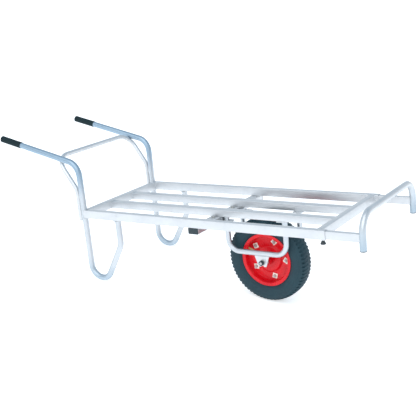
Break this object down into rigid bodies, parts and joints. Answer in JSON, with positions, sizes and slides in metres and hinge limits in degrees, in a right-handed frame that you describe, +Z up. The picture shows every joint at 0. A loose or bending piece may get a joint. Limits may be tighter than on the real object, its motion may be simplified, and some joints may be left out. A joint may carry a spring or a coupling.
{
  "type": "single-wheel flat cart",
  "caption": "Aluminium hand cart with a flat slatted deck, one central pneumatic wheel, two rear leg loops, two long handles and a sliding front guard hoop.",
  "frame": {"origin": "middle of the bounding box, on the ground that the wheel and both leg loops stand on", "axes": "+X to the front guard along the ground, +Y to the left, +Z up; the deck is nose-up 7.1 degrees when the cart is parked"},
  "size_m": [1.7854, 0.528, 0.5743],
  "materials": {
    "aluminium": "satin mill finish, drawn tube and extruded sections",
    "grip_rubber": "matt",
    "end_cap_rubber": "matt",
    "tyre": "matt, lugged",
    "inner_tube_rubber": "matt",
    "red_paint": "gloss enamel on pressed steel",
    "zinc_steel": "bright zinc plating",
    "dark_steel": "blackened",
    "black_plastic": "moulded, matt",
    "bearing_steel": "ground",
    "valve_brass": "dull"
  },
  "bodies": {
    "frame": {"side_tube_left": "aluminium", "side_tube_right": "aluminium", "grip_left": "grip_rubber", "grip_right": "grip_rubber", "brace_hoop": "aluminium", "side_rail_left": "aluminium", "side_rail_right": "aluminium", "rear_cross_rail": "aluminium", "front_cross_rail": "aluminium", "slat_left": "aluminium", "slat_right": "aluminium", "leg_tab_left": "aluminium", "leg_rivet_left": "aluminium", "leg_tab_right": "aluminium", "leg_rivet_right": "aluminium", "lock_boss_left": "aluminium", "lock_boss_right": "aluminium", "wheel_cross_member": "aluminium", "member_cap_left": "end_cap_rubber", "member_cap_right": "end_cap_rubber", "member_bolt_1": "zinc_steel", "member_bolt_2": "zinc_steel", "member_bolt_3": "zinc_steel", "member_bolt_4": "zinc_steel", "wheel_hanger_left": "aluminium", "hanger_top_plate_left": "aluminium", "hanger_foot_plate_left": "aluminium", "wheel_hanger_right": "aluminium", "hanger_top_plate_right": "aluminium", "hanger_foot_plate_right": "aluminium", "axle_bracket_left": "aluminium", "axle_bracket_right": "aluminium", "axle": "zinc_steel", "axle_spacer_left": "zinc_steel", "axle_washer_left": "zinc_steel", "axle_nut_left": "dark_steel", "axle_spacer_right": "zinc_steel", "axle_washer_right": "zinc_steel", "axle_nut_right": "dark_steel"},
    "wheel": {"tyre": "tyre", "inner_tube": "inner_tube_rubber", "valve_stem": "valve_brass", "rim_half_left": "red_paint", "rim_half_right": "red_paint", "rim_bolt_1": "zinc_steel", "rim_bolt_2": "zinc_steel", "rim_bolt_3": "zinc_steel", "rim_bolt_4": "zinc_steel", "rim_bolt_5": "zinc_steel", "hub": "red_paint", "bearing_left": "bearing_steel", "bearing_right": "bearing_steel"},
    "guard": {"guard_hoop": "aluminium", "slide_tube_left": "aluminium", "guard_plug_left": "black_plastic", "slide_tube_right": "aluminium", "guard_plug_right": "black_plastic"},
    "knob_left": {"lock_knob_left": "black_plastic"},
    "knob_right": {"lock_knob_right": "black_plastic"}
  },
  "joints": [
    {"name": "wheel_spin", "type": "hinge", "parent": "frame", "child": "wheel", "pos_m": [0.37206, 0, 0.17953], "axis": [0, 1, 0], "continuous": true},
    {"name": "guard_slide", "type": "slide", "parent": "frame", "child": "guard", "axis": [0.9923, 0, 0.1236], "range_m": [-0.125, 0.125]},
    {"name": "knob_left_turn", "type": "hinge", "parent": "frame", "child": "knob_left", "pos_m": [0.72472, 0.249, 0.39829], "axis": [0.1236, 0, -0.9923], "range_deg": [0, 360]},
    {"name": "knob_right_turn", "type": "hinge", "parent": "frame", "child": "knob_right", "pos_m": [0.72472, -0.249, 0.39829], "axis": [0.1236, 0, -0.9923], "range_deg": [0, 360]}
  ]
}
